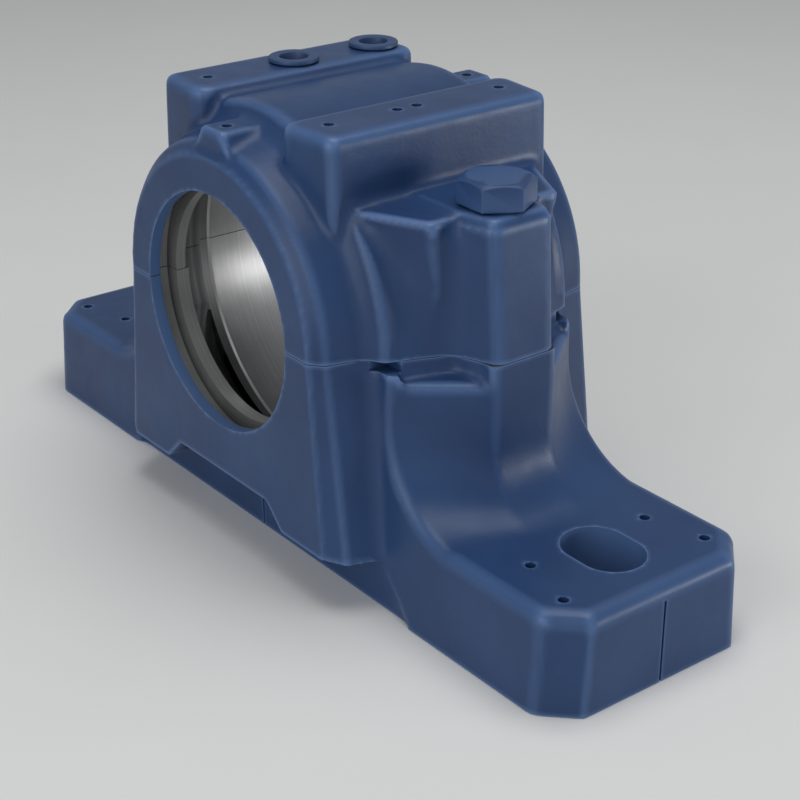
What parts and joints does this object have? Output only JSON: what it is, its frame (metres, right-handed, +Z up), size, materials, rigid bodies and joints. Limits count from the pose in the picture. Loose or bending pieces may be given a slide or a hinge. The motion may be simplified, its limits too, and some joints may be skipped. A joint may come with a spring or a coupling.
{
  "type": "split plummer block housing",
  "caption": "Split cast plummer block housing with swept slotted feet, flat cap shoulders, hexagon cap bolts and a machined bearing bore for a shaft.",
  "frame": {"origin": "centre of the base's underside, in the plane that the housing stands on", "axes": "+X along the feet, +Y along the shaft axis, +Z up from the mounting surface to the cap"},
  "size_m": [0.255, 0.094, 0.1274],
  "materials": {
    "blue_casting": "satin blue paint over cast iron, machined bare inside the bore",
    "blue_bolt": "satin blue paint over steel",
    "blue_plug": "satin blue",
    "bright_steel": "ground steel"
  },
  "bodies": {
    "root": {"base_casting": "blue_casting", "cap_casting": "blue_casting", "cap_bolt_right": "blue_bolt", "cap_bolt_left": "blue_bolt", "dowel_pin_front": "bright_steel", "dowel_pin_rear": "bright_steel", "lubrication_plug_centre": "blue_plug", "lubrication_plug_side": "blue_plug"}
  },
  "joints": []
}
